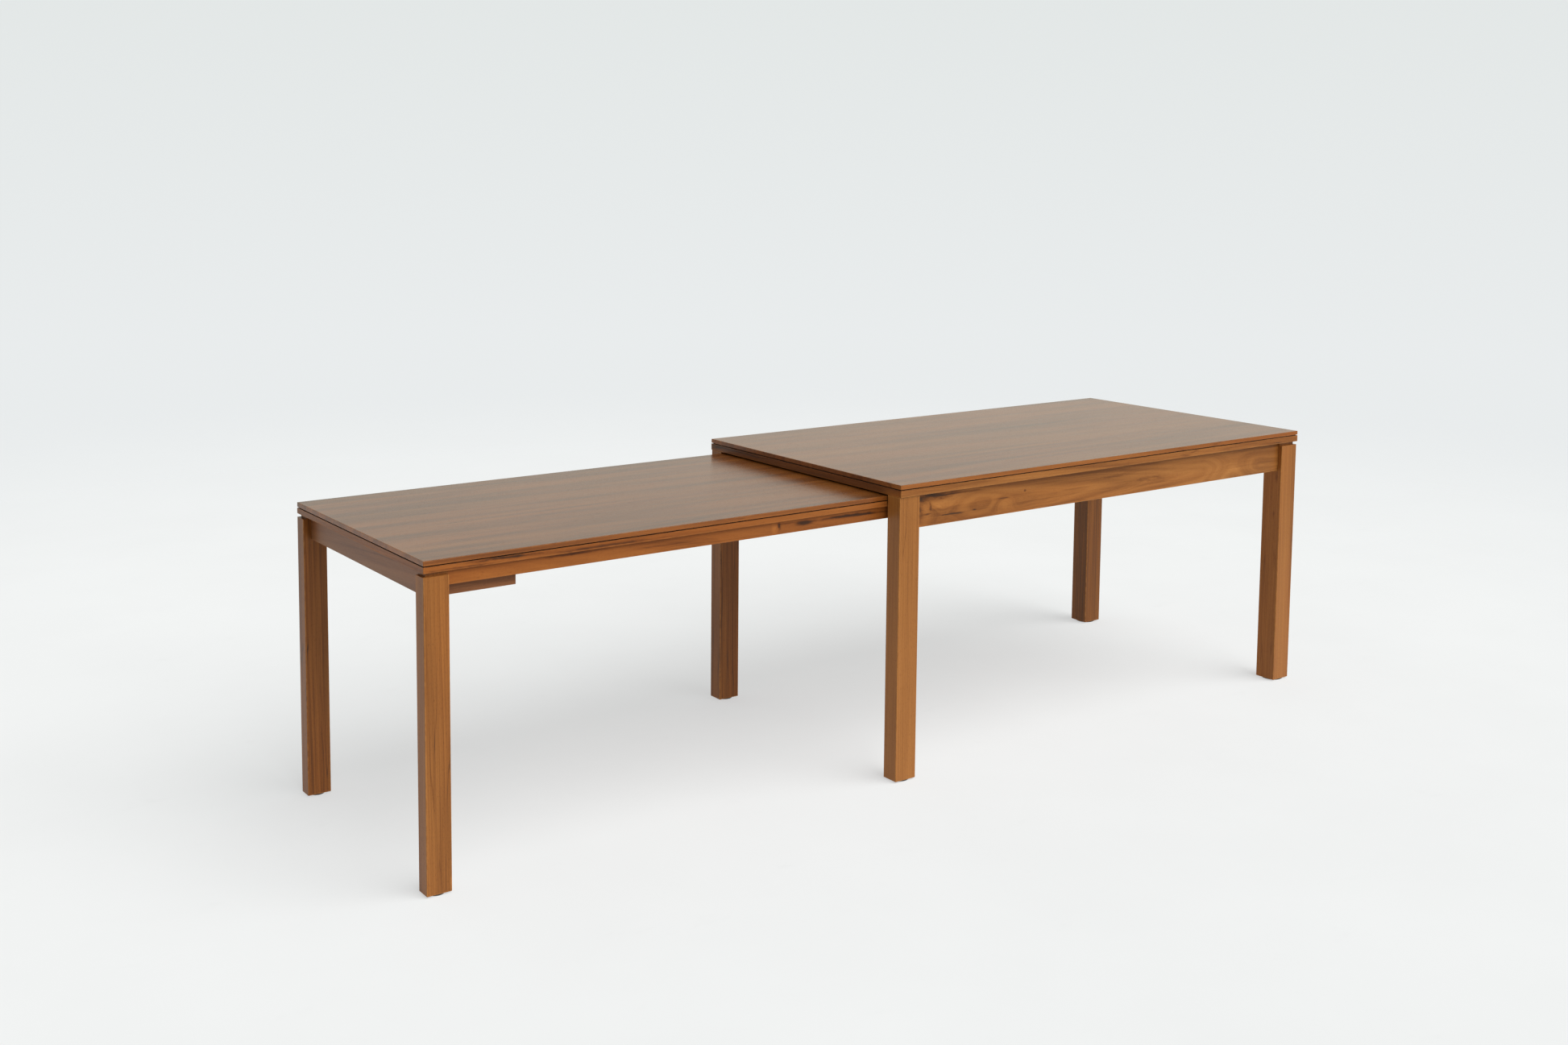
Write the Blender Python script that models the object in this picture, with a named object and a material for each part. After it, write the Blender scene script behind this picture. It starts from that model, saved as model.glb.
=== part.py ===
"""Extending dining table: a main table and a leaf table that nests inside it.

The main table is a box-edged top on four legs, open under its left end.  The leaf table has legs
at its outer end only.  Its inner end slides on two runners fixed inside the main table's rails, and
the whole leaf pushes in under the main top until the two outer ends are flush.

Frame: metres, +X along the table towards the closed end, +Y across it, +Z up.  The origin is on the
floor, in the middle of the box that the table fills with the leaf pulled right out.
"""

import math

import bmesh
import bpy
from mathutils import Matrix, Vector

# ---------------------------------------------------------------- driving dimensions, whole table
MAIN_LENGTH = 1.500
MAIN_WIDTH = 0.800
MAIN_HEIGHT = 0.730
LEAF_OVERLAP = 0.220            # leaf that stays under the main top when it is pulled right out
LEAF_END_CLEARANCE = 0.015      # pushed-in leaf to the legs of the closed end
LEAF_SIDE_CLEARANCE = 0.0045    # leaf edge to the legs of the open end
LEAF_TOP_CLEARANCE = 0.003      # leaf top to the underside of the main top

# ---------------------------------------------------------------- tops
BOARD_THICKNESS = 0.0108
GROOVE_HEIGHT = 0.002
GROOVE_DEPTH = 0.004
MAIN_EDGE_DEPTH = 0.030         # board, groove and band together
LEAF_EDGE_DEPTH = 0.026
MAIN_BAND_WIDTH = 0.055
LEAF_BAND_WIDTH = 0.050
BATTEN_WIDTH = 0.060

# ---------------------------------------------------------------- legs, as (along X, across Y)
OPEN_LEG = (0.062, 0.045)
CLOSED_LEG = (0.065, 0.060)
LEAF_LEG = (0.056, 0.038)
MAIN_LEG_SET = 0.003            # main legs back from the long edges of the top
NECK_INSET = 0.007
MAIN_NECK_HEIGHT = 0.009
LEAF_NECK_HEIGHT = 0.008
GLIDE_THICKNESS = 0.003
GLIDE_MARGIN = 0.001            # glide edge back from the narrow side of its leg

# ---------------------------------------------------------------- rails
MAIN_RAIL_THICKNESS = 0.022
MAIN_RAIL_SET = 0.012           # back from the outer face of the legs
LEAF_RAIL_DEPTH = 0.031         # below the band, as is the next
LEAF_END_RAIL_DEPTH = 0.057
LEAF_RAIL_THICKNESS = 0.020
LEAF_RAIL_SET = 0.008
LEAF_END_RAIL_SET = 0.019
TENON_THICKNESS = 0.008
TENON_SHOULDER = 0.006
TENON_WALL = 0.003              # wood left between the two tenons that meet in one leg
BRACE_THICKNESS = 0.018
BRACE_LENGTH = 0.164

# ---------------------------------------------------------------- slide
RUNNER_THICKNESS = 0.0197
RUNNER_BEARING = 0.017          # how far a runner reaches under the leaf's side rail
RUNNER_LEG_CLEARANCE = 0.002    # pushed-in leaf leg to the runner's front end
SLIDE_PLAY = 0.0005
STRIP_THICKNESS = 0.0015
STRIP_WIDTH = 0.012
STRIP_END_MARGIN = 0.004
STOP_LENGTH = 0.050
STOP_CLEARANCE = 0.005          # stop to the inside of the main rail
STOP_MARGIN = 0.003             # stop to the top and bottom of the side rail
BUMPER_RADIUS = 0.005
GUARD_SIZE = (0.028, 0.060)
GUARD_SET = 0.014               # felt guard back from the open end
GUARD_OFFSET = 0.200            # felt guard centre to the centre line
GUARD_PLAY = 0.0006

# ---------------------------------------------------------------- screws
HEAD_RADIUS = 0.004
SHANK_RADIUS = 0.002
HEAD_DEPTH = 0.0024
POINT_LENGTH = 0.004
SOCKET_RADIUS = 0.0016
SOCKET_DEPTH = 0.0018
SCREW_BITE = 0.012              # thread in the second piece
SCREW_TURN = math.radians(77)   # from one screw of a row to the next
RUNNER_SCREWS = 3
BRACE_SCREWS = 2

# ---------------------------------------------------------------- making
FIT = 0.0003                    # gap between pieces that touch
EDGE = 0.0010                   # softened corners of the wood
EDGE_SEGMENTS = 2
ROUND_SEGMENTS = 40
SCREW_SEGMENTS = 20
SOCKET_SIDES = 6
CUT_MARGIN = 0.002              # how far a cutter stands out of the face that it enters
SMOOTH_ANGLE = math.radians(35)

# ---------------------------------------------------------------- sizes that follow
LEAF_LENGTH = MAIN_LENGTH - CLOSED_LEG[0] - LEAF_END_CLEARANCE
LEAF_TRAVEL = LEAF_LENGTH - LEAF_OVERLAP
LEAF_WIDTH = MAIN_WIDTH - 2 * (MAIN_LEG_SET + OPEN_LEG[1] + LEAF_SIDE_CLEARANCE)

MAIN_LEFT = (LEAF_TRAVEL - MAIN_LENGTH) / 2
MAIN_RIGHT = MAIN_LEFT + MAIN_LENGTH
LEAF_LEFT = MAIN_LEFT - LEAF_TRAVEL
LEAF_RIGHT = LEAF_LEFT + LEAF_LENGTH

MAIN_UNDERSIDE = MAIN_HEIGHT - MAIN_EDGE_DEPTH
LEAF_HEIGHT = MAIN_UNDERSIDE - LEAF_TOP_CLEARANCE
LEAF_UNDERSIDE = LEAF_HEIGHT - LEAF_EDGE_DEPTH
LEG_FOOT = GLIDE_THICKNESS + FIT

MAIN_LEG_FACE = MAIN_WIDTH / 2 - MAIN_LEG_SET
MAIN_RAIL_FACE = MAIN_LEG_FACE - MAIN_RAIL_SET
MAIN_RAIL_BACK = MAIN_RAIL_FACE - MAIN_RAIL_THICKNESS
OPEN_LEG_BACK = MAIN_LEFT + OPEN_LEG[0]
CLOSED_LEG_FRONT = MAIN_RIGHT - CLOSED_LEG[0]
MAIN_TENON_LENGTH = (CLOSED_LEG[0] - MAIN_RAIL_SET - (MAIN_RAIL_THICKNESS + TENON_THICKNESS) / 2
                     - TENON_WALL)

LEAF_FACE = LEAF_WIDTH / 2
LEAF_RAIL_FACE = LEAF_FACE - LEAF_RAIL_SET
LEAF_RAIL_BACK = LEAF_RAIL_FACE - LEAF_RAIL_THICKNESS
LEAF_RAIL_FOOT = LEAF_UNDERSIDE - LEAF_RAIL_DEPTH
LEAF_LEG_BACK = LEAF_LEFT + LEAF_LEG[0]
LEAF_TENON_LENGTH = (LEAF_LEG[0] - LEAF_END_RAIL_SET - (LEAF_RAIL_THICKNESS + TENON_THICKNESS) / 2
                     - TENON_WALL)

RUNNER_BACK = LEAF_RAIL_FACE - RUNNER_BEARING
STRIP_TOP = LEAF_RAIL_FOOT - SLIDE_PLAY
RUNNER_TOP = STRIP_TOP - STRIP_THICKNESS - FIT
RUNNER_FRONT = max(OPEN_LEG_BACK, MAIN_LEFT + LEAF_LEG[0] + RUNNER_LEG_CLEARANCE) + FIT
MAIN_RAIL_FOOT = RUNNER_TOP - RUNNER_THICKNESS

SIDES = (("near", -1), ("far", 1))


# ================================================================ finishes and bodies
def finish(name, color, roughness, metallic=0.0):
    """A Principled material in one colour."""
    material = bpy.data.materials.new(name)
    material.use_nodes = True
    shader = material.node_tree.nodes["Principled BSDF"]
    shader.inputs["Base Color"].default_value = (*color, 1.0)
    shader.inputs["Roughness"].default_value = roughness
    shader.inputs["Metallic"].default_value = metallic
    material.diffuse_color = (*color, 1.0)
    return material


def empty(name, location):
    """An empty that the pieces of one moving body hang from."""
    holder = bpy.data.objects.new(name, None)
    holder.location = location
    bpy.context.scene.collection.objects.link(holder)
    return holder


# ================================================================ making a piece
def add_piece(name, mesh_data, material, body):
    """Put a bmesh in world coordinates into an object whose origin is at the mesh's middle."""
    corners = [vertex.co for vertex in mesh_data.verts]
    low = Vector(tuple(min(corner[i] for corner in corners) for i in range(3)))
    high = Vector(tuple(max(corner[i] for corner in corners) for i in range(3)))
    middle = (low + high) / 2
    bmesh.ops.translate(mesh_data, verts=mesh_data.verts, vec=-middle)
    bmesh.ops.recalc_face_normals(mesh_data, faces=mesh_data.faces)
    mesh = bpy.data.meshes.new(name)
    mesh_data.to_mesh(mesh)
    mesh_data.free()
    mesh.materials.append(material)
    piece = bpy.data.objects.new(name, mesh)
    bpy.context.scene.collection.objects.link(piece)
    piece.parent = body
    piece.location = middle - body.location
    return piece


def as_cutter(piece):
    """Turn a piece into a guide that only cuts."""
    piece.hide_render = True
    piece.display_type = "WIRE"
    return piece


def cut(piece, cutter):
    """Take a cutter's shape out of a piece."""
    modifier = piece.modifiers.new(cutter.name, "BOOLEAN")
    modifier.operation = "DIFFERENCE"
    modifier.object = cutter


def soften(piece, width=EDGE):
    """Round the edges that carry a bevel weight."""
    modifier = piece.modifiers.new("softened_edges", "BEVEL")
    modifier.limit_method = "WEIGHT"
    modifier.width = width
    modifier.segments = EDGE_SEGMENTS


def lofted(name, axis, stations, material, body, soft_runs=(), soft_rings=()):
    """Join rectangles strung along an axis into one closed piece.

    A station is (place along the axis, low and high of the next axis, low and high of the last).
    soft_runs are the stretches, and soft_rings the stations, whose edges are softened.
    """
    order = {"X": (0, 1, 2), "Y": (1, 0, 2), "Z": (2, 0, 1)}[axis]
    data = bmesh.new()
    weight = data.edges.layers.float.new("bevel_weight_edge")
    rings = []
    for along, first, second in stations:
        ring = []
        for a, b in ((0, 0), (1, 0), (1, 1), (0, 1)):
            place = Vector((0.0, 0.0, 0.0))
            place[order[0]], place[order[1]], place[order[2]] = along, first[a], second[b]
            ring.append(data.verts.new(place))
        rings.append(ring)
    data.faces.new(rings[0])
    data.faces.new(reversed(rings[-1]))
    for run, (start, end) in enumerate(zip(rings, rings[1:])):
        for i in range(4):
            j = (i + 1) % 4
            data.faces.new((start[i], start[j], end[j], end[i]))
            if run in soft_runs:
                data.edges.get((start[i], end[i]))[weight] = 1.0
    for ring in (rings[i] for i in soft_rings):
        for i in range(4):
            data.edges.get((ring[i], ring[(i + 1) % 4]))[weight] = 1.0
    piece = add_piece(name, data, material, body)
    if soft_runs or soft_rings:
        soften(piece)
    return piece


def block(name, x, y, z, material, body, soft=True):
    """A plain board or block between two limits on each axis."""
    stations = [(x[0], y, z), (x[1], y, z)]
    return lofted(name, "X", stations, material, body, (0,) if soft else (), (0, 1) if soft else ())


def turned(name, profile, segments, axis, place, material, body, start_angle=0.0):
    """Turn a profile of (radius, height) points about an axis through a place."""
    data = bmesh.new()
    rings = []
    for radius, height in profile:
        if radius == 0.0:
            rings.append([data.verts.new((0.0, 0.0, height))])
            continue
        angles = (start_angle + math.tau * i / segments for i in range(segments))
        rings.append([data.verts.new((radius * math.cos(a), radius * math.sin(a), height)) for a in angles])
    for start, end in zip(rings, rings[1:]):
        for i in range(segments):
            j = (i + 1) % segments
            corners = [start[i % len(start)], start[j % len(start)], end[j % len(end)], end[i % len(end)]]
            data.faces.new(list(dict.fromkeys(corners)))
    turn = Vector((0.0, 0.0, 1.0)).rotation_difference(Vector(axis)).to_matrix().to_4x4()
    bmesh.ops.transform(data, matrix=Matrix.Translation(place) @ turn, verts=data.verts)
    piece = add_piece(name, data, material, body)
    piece.data.shade_smooth()
    piece.data.set_sharp_from_angle(angle=SMOOTH_ANGLE)
    return piece


def disc(name, radius, low, high, place, axis, material, body):
    """A plain round pad or stub."""
    profile = [(0.0, low), (radius, low), (radius, high), (0.0, high)]
    return turned(name, profile, ROUND_SEGMENTS, axis, place, material, body)


def between(side, inner, outer):
    """Low and high Y of what lies between two distances from the centre line on one side."""
    return (-outer, -inner) if side < 0 else (inner, outer)


# ================================================================ joinery
def screw(name, number, place, axis, length, targets, material, body):
    """A countersunk screw whose head is flush at a place, and its hole through the targets.

    Screws in a row stop at different turns, so each number has its own start angle.
    """
    angle = number * SCREW_TURN
    head = -FIT
    shank = head - HEAD_DEPTH
    profile = [
        (0.0, head), (HEAD_RADIUS, head), (SHANK_RADIUS, shank),
        (SHANK_RADIUS, POINT_LENGTH - length), (0.0, -length),
    ]
    piece = turned(name, profile, SCREW_SEGMENTS, axis, place, material, body, angle)
    socket = turned(name + "_socket", [
        (0.0, CUT_MARGIN), (SOCKET_RADIUS, CUT_MARGIN),
        (SOCKET_RADIUS, head - SOCKET_DEPTH), (0.0, head - SOCKET_DEPTH),
    ], SOCKET_SIDES, axis, place, material, body, angle)
    cut(piece, as_cutter(socket))
    hole = turned(name + "_hole", [
        (0.0, CUT_MARGIN), (HEAD_RADIUS + 2 * FIT, CUT_MARGIN), (HEAD_RADIUS + 2 * FIT, head),
        (SHANK_RADIUS + FIT, shank), (SHANK_RADIUS + FIT, -length - FIT), (0.0, -length - FIT),
    ], SCREW_SEGMENTS, axis, place, material, body, angle)
    for target in targets:
        cut(target, as_cutter(hole))
    return piece


def tenoned_rail(name, axis, ends, across, z, tenon, legs, material, body):
    """A rail between two legs, with a tenon at each end that has a leg, and the legs' mortises."""
    middle = (across[0] + across[1]) / 2
    cheek = (middle - TENON_THICKNESS / 2, middle + TENON_THICKNESS / 2)
    step = (z[0] + TENON_SHOULDER, z[1] - TENON_SHOULDER)
    start, end = ends[0] + FIT, ends[1] - FIT
    stations = [(start, across, z), (end, across, z)]
    body_run = 0
    if legs[0]:
        stations = [(ends[0] - tenon, cheek, step), (start, cheek, step)] + stations
        body_run = 2
    if legs[1]:
        stations += [(end, cheek, step), (ends[1] + tenon, cheek, step)]
    rail = lofted(name, axis, stations, material, body, soft_runs=(body_run,))
    mouth_cheek = (cheek[0] - FIT, cheek[1] + FIT)
    mouth_step = (step[0] - FIT, step[1] + FIT)
    for end_leg, shoulder, way in ((legs[0], ends[0], -1), (legs[1], ends[1], 1)):
        if end_leg:
            depth = sorted((shoulder + way * (tenon + FIT), shoulder - way * CUT_MARGIN))
            reach = [(along, mouth_cheek, mouth_step) for along in depth]
            cut(end_leg, as_cutter(lofted(f"{end_leg.name}_{name}_mortise", axis, reach, material, body)))
    return rail


def leg(name, x, side, faces, top, neck, outer_x, material, body):
    """A square leg; with a neck its top steps back from its two outer faces, as a shadow gap.

    faces are the leg's inner and outer distance from the centre line, and outer_x is -1 or 1, the
    way that its end face looks.
    """
    y = between(side, *faces)
    ends = [(LEG_FOOT, x, y), (top, x, y)]
    piece = lofted(name, "Z", ends, material, body, soft_runs=(0,), soft_rings=(0,))
    if neck:
        end = x[0] if outer_x < 0 else x[1]
        end_x = sorted((end - outer_x * NECK_INSET, end + outer_x * CUT_MARGIN))
        wide_x = (x[0] - CUT_MARGIN, x[1] + CUT_MARGIN)
        wide_y = (y[0] - CUT_MARGIN, y[1] + CUT_MARGIN)
        edge_y = between(side, faces[1] - NECK_INSET, faces[1] + CUT_MARGIN)
        gap_z = (top - neck, top + CUT_MARGIN)
        for face, gap_x, gap_y in (("end", end_x, wide_y), ("edge", wide_x, edge_y)):
            gap = block(f"{name}_{face}_gap", gap_x, gap_y, gap_z, material, body, soft=False)
            cut(piece, as_cutter(gap))
    return piece


def glide(name, x, side, faces, material, body):
    """A round felt glide centred under a leg."""
    radius = min(x[1] - x[0], faces[1] - faces[0]) / 2 - GLIDE_MARGIN
    place = ((x[0] + x[1]) / 2, side * (faces[0] + faces[1]) / 2, 0.0)
    return disc(name, radius, 0.0, GLIDE_THICKNESS, place, (0, 0, 1), material, body)


def banded_top(prefix, x, half_width, top, edge_depth, band_width, wood, hidden, body):
    """A board, the four mitred strips under its edge with their shadow groove, and two battens."""
    board_foot = top - BOARD_THICKNESS
    band_top = board_foot - FIT
    band_foot = top - edge_depth
    groove_foot = board_foot - GROOVE_HEIGHT
    block(f"{prefix}_top_board", x, (-half_width, half_width), (board_foot, top), wood, body)

    profile = [
        (0.0, band_foot), (0.0, groove_foot), (GROOVE_DEPTH, groove_foot), (GROOVE_DEPTH, band_top),
        (band_width, band_top), (band_width, band_foot),
    ]
    corners = [
        Vector((x[0], -half_width)), Vector((x[1], -half_width)),
        Vector((x[1], half_width)), Vector((x[0], half_width)),
    ]
    for i, place in enumerate(("near", "right", "far", "left")):
        start, end = corners[i], corners[(i + 1) % 4]
        along = (end - start).normalized()
        inward = Vector((-along.y, along.x))
        mitred_strip(f"{prefix}_band_{place}", start, end, along, inward, profile, wood, body)

    batten_y = half_width - band_width - FIT
    batten_z = (band_foot, band_top)
    for place, share in (("left", 1 / 3), ("right", 2 / 3)):
        middle = x[0] + (x[1] - x[0]) * share
        batten_x = (middle - BATTEN_WIDTH / 2, middle + BATTEN_WIDTH / 2)
        block(f"{prefix}_batten_{place}", batten_x, (-batten_y, batten_y), batten_z, hidden, body)


def mitred_strip(name, start, end, along, inward, profile, material, body):
    """A strip of one profile of (depth inward, height), mitred at both ends."""
    data = bmesh.new()
    weight = data.edges.layers.float.new("bevel_weight_edge")
    rings = []
    for corner, way in ((start, 1), (end, -1)):
        ring = []
        for depth, height in profile:
            plan = corner + along * way * (depth + FIT) + inward * depth
            ring.append(data.verts.new((plan.x, plan.y, height)))
        rings.append(ring)
    count = len(profile)
    data.faces.new(rings[0])
    data.faces.new(reversed(rings[1]))
    for i in range(count):
        j = (i + 1) % count
        data.faces.new((rings[0][i], rings[0][j], rings[1][j], rings[1][i]))
    for outer in (0, 1):
        data.edges.get((rings[0][outer], rings[1][outer]))[weight] = 1.0
    piece = add_piece(name, data, material, body)
    soften(piece, EDGE / 2)
    return piece


# ================================================================ the two tables
def build_main_table(finishes, body):
    """The fixed table: banded top, four legs, three rails, runners and feet."""
    wood, hidden = finishes["wood"], finishes["hidden_wood"]
    banded_top("main", (MAIN_LEFT, MAIN_RIGHT), MAIN_WIDTH / 2, MAIN_HEIGHT, MAIN_EDGE_DEPTH,
               MAIN_BAND_WIDTH, wood, hidden, body)

    leg_top = MAIN_UNDERSIDE - FIT
    rail_z = (MAIN_RAIL_FOOT, leg_top)
    runner_x = (RUNNER_FRONT, CLOSED_LEG_FRONT - FIT)
    closed_legs = []
    for side_name, side in SIDES:
        open_x = (MAIN_LEFT, OPEN_LEG_BACK)
        open_faces = (MAIN_LEG_FACE - OPEN_LEG[1], MAIN_LEG_FACE)
        open_leg = leg(f"main_leg_left_{side_name}", open_x, side, open_faces, leg_top, 0.0, -1, wood, body)
        glide(f"main_glide_left_{side_name}", open_x, side, open_faces, finishes["felt"], body)

        closed_x = (CLOSED_LEG_FRONT, MAIN_RIGHT)
        closed_faces = (MAIN_LEG_FACE - CLOSED_LEG[1], MAIN_LEG_FACE)
        closed_leg = leg(f"main_leg_right_{side_name}", closed_x, side, closed_faces, leg_top,
                         MAIN_NECK_HEIGHT, 1, wood, body)
        glide(f"main_glide_right_{side_name}", closed_x, side, closed_faces, finishes["felt"], body)
        closed_legs.append(closed_leg)

        rail = tenoned_rail(f"main_rail_{side_name}", "X", (OPEN_LEG_BACK, CLOSED_LEG_FRONT),
                            between(side, MAIN_RAIL_BACK, MAIN_RAIL_FACE), rail_z, MAIN_TENON_LENGTH,
                            (open_leg, closed_leg), wood, body)
        build_runner(side_name, side, runner_x, rail, finishes, body)
        build_bumper(side_name, side, closed_faces[0], finishes["rubber"], body)

        guard_x = (MAIN_LEFT + GUARD_SET, MAIN_LEFT + GUARD_SET + GUARD_SIZE[0])
        guard_y = between(side, GUARD_OFFSET - GUARD_SIZE[1] / 2, GUARD_OFFSET + GUARD_SIZE[1] / 2)
        guard_z = (LEAF_HEIGHT + GUARD_PLAY, MAIN_UNDERSIDE - FIT)
        block(f"main_guard_felt_{side_name}", guard_x, guard_y, guard_z, finishes["felt"], body, soft=False)

    end_face = MAIN_RIGHT - MAIN_RAIL_SET
    clear = MAIN_LEG_FACE - CLOSED_LEG[1]
    tenoned_rail("main_rail_end", "Y", (-clear, clear), (end_face - MAIN_RAIL_THICKNESS, end_face), rail_z,
                 MAIN_TENON_LENGTH, closed_legs, wood, body)


def build_runner(side_name, side, x, rail, finishes, body):
    """A runner inside a long rail, its slippery strip, and the screws that hold it to the rail."""
    runner = block(f"main_runner_{side_name}", x, between(side, RUNNER_BACK, MAIN_RAIL_BACK - FIT),
                   (MAIN_RAIL_FOOT, RUNNER_TOP), finishes["hidden_wood"], body)
    bearing = (LEAF_RAIL_FACE + RUNNER_BACK) / 2
    strip_y = between(side, bearing - STRIP_WIDTH / 2, bearing + STRIP_WIDTH / 2)
    strip_x = (x[0] + STRIP_END_MARGIN, x[1] - STRIP_END_MARGIN)
    block(f"main_slide_strip_{side_name}", strip_x, strip_y, (STRIP_TOP - STRIP_THICKNESS, STRIP_TOP),
          finishes["nylon"], body, soft=False)
    length = MAIN_RAIL_BACK - RUNNER_BACK + SCREW_BITE
    for i in range(RUNNER_SCREWS):
        along = x[0] + (x[1] - x[0]) * (i + 0.5) / RUNNER_SCREWS
        place = (along, side * RUNNER_BACK, (MAIN_RAIL_FOOT + RUNNER_TOP) / 2)
        screw(f"main_runner_screw_{side_name}_{i + 1}", i + 1, place, (0, -side, 0), length,
              (runner, rail), finishes["steel"], body)


def build_bumper(side_name, side, leg_back, material, body):
    """A rubber stub on a closed-end leg, which the leaf's inner end meets when it is pushed in."""
    middle = side * (leg_back + LEAF_FACE) / 2
    place = (CLOSED_LEG_FRONT - FIT, middle, (LEAF_UNDERSIDE + LEAF_HEIGHT - BOARD_THICKNESS) / 2)
    length = LEAF_END_CLEARANCE - 2 * FIT
    disc(f"main_bumper_{side_name}", BUMPER_RADIUS, 0.0, length, place, (-1, 0, 0), material, body)


def build_leaf_table(finishes, body):
    """The sliding table: banded top, two legs at its outer end, rails, braces and stops."""
    wood, hidden = finishes["wood"], finishes["hidden_wood"]
    banded_top("leaf", (LEAF_LEFT, LEAF_RIGHT), LEAF_FACE, LEAF_HEIGHT, LEAF_EDGE_DEPTH, LEAF_BAND_WIDTH,
               wood, hidden, body)

    leg_top = LEAF_UNDERSIDE - FIT
    leg_x = (LEAF_LEFT, LEAF_LEG_BACK)
    leg_faces = (LEAF_FACE - LEAF_LEG[1], LEAF_FACE)
    side_z = (LEAF_RAIL_FOOT, leg_top)
    inner_end = LEAF_RIGHT - LEAF_RAIL_SET
    legs = []
    for side_name, side in SIDES:
        outer_leg = leg(f"leaf_leg_{side_name}", leg_x, side, leg_faces, leg_top, LEAF_NECK_HEIGHT, -1, wood,
                        body)
        glide(f"leaf_glide_{side_name}", leg_x, side, leg_faces, finishes["felt"], body)
        legs.append(outer_leg)
        rail = tenoned_rail(f"leaf_rail_{side_name}", "X", (LEAF_LEG_BACK, inner_end),
                            between(side, LEAF_RAIL_BACK, LEAF_RAIL_FACE), side_z, LEAF_TENON_LENGTH,
                            (outer_leg, None), wood, body)
        build_brace(side_name, side, leg_top, rail, finishes, body)
        build_stop(side_name, side, rail, finishes, body)

    end_face = LEAF_LEFT + LEAF_END_RAIL_SET
    tenoned_rail("leaf_rail_end", "Y", (-leg_faces[0], leg_faces[0]),
                 (end_face, end_face + LEAF_RAIL_THICKNESS),
                 (LEAF_UNDERSIDE - LEAF_END_RAIL_DEPTH, leg_top), LEAF_TENON_LENGTH, legs, wood, body)
    inner_y = LEAF_RAIL_BACK - FIT
    block("leaf_rail_inner", (inner_end - LEAF_RAIL_THICKNESS, inner_end), (-inner_y, inner_y), side_z,
          hidden, body)


def build_brace(side_name, side, top, rail, finishes, body):
    """A deep brace behind the side rail that stiffens the joint with the leg, and its screws."""
    x = (LEAF_LEG_BACK + FIT, LEAF_LEG_BACK + FIT + BRACE_LENGTH)
    outer = LEAF_RAIL_BACK - FIT
    inner = outer - BRACE_THICKNESS
    brace = block(f"leaf_brace_{side_name}", x, between(side, inner, outer),
                  (LEAF_UNDERSIDE - LEAF_END_RAIL_DEPTH, top), finishes["wood"], body)
    for i in range(BRACE_SCREWS):
        along = x[0] + BRACE_LENGTH * (i + 0.5) / BRACE_SCREWS
        place = (along, side * inner, (LEAF_RAIL_FOOT + LEAF_UNDERSIDE) / 2)
        screw(f"leaf_brace_screw_{side_name}_{i + 1}", i + 1, place, (0, -side, 0),
              BRACE_THICKNESS + SCREW_BITE, (brace, rail), finishes["steel"], body)


def build_stop(side_name, side, rail, finishes, body):
    """A block outside the side rail that meets the open-end leg when the leaf is pulled right out."""
    x = (OPEN_LEG_BACK + FIT, OPEN_LEG_BACK + FIT + STOP_LENGTH)
    inner = LEAF_RAIL_FACE + FIT
    outer = MAIN_RAIL_BACK - STOP_CLEARANCE
    stop = block(f"leaf_stop_{side_name}", x, between(side, inner, outer),
                 (LEAF_RAIL_FOOT + STOP_MARGIN, LEAF_UNDERSIDE - STOP_MARGIN), finishes["hidden_wood"], body)
    place = ((x[0] + x[1]) / 2, side * outer, (LEAF_RAIL_FOOT + LEAF_UNDERSIDE) / 2)
    screw(f"leaf_stop_screw_{side_name}", BRACE_SCREWS + 1, place, (0, side, 0),
          outer - inner + SCREW_BITE, (stop, rail), finishes["steel"], body)


def main():
    """Clear the scene and build both tables."""
    for old in list(bpy.data.objects):
        bpy.data.objects.remove(old, do_unlink=True)
    finishes = {
        "wood": finish("walnut", (0.30, 0.125, 0.045), 0.35),
        "hidden_wood": finish("inner_beech", (0.42, 0.24, 0.11), 0.55),
        "felt": finish("felt", (0.03, 0.025, 0.022), 0.95),
        "nylon": finish("nylon", (0.78, 0.76, 0.70), 0.40),
        "rubber": finish("rubber", (0.02, 0.02, 0.02), 0.80),
        "steel": finish("zinc_steel", (0.62, 0.60, 0.55), 0.35, 1.0),
    }
    build_main_table(finishes, empty("main_table", (0.0, 0.0, 0.0)))
    build_leaf_table(finishes, empty("leaf_slide", (LEAF_LEFT, 0.0, LEAF_RAIL_FOOT)))


main()
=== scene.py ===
"""Looks of the nesting extension table: lacquered walnut, felt, nylon, rubber and zinc-plated steel.

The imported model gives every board, leg and rail its place.  This script dresses those pieces in
procedural finishes, builds the felt glides as fibrous pads, and sets up a pale studio.
"""

import logging
import math
from dataclasses import dataclass, field
from enum import Enum

import bmesh
import bpy
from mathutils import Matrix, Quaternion, Vector


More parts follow.
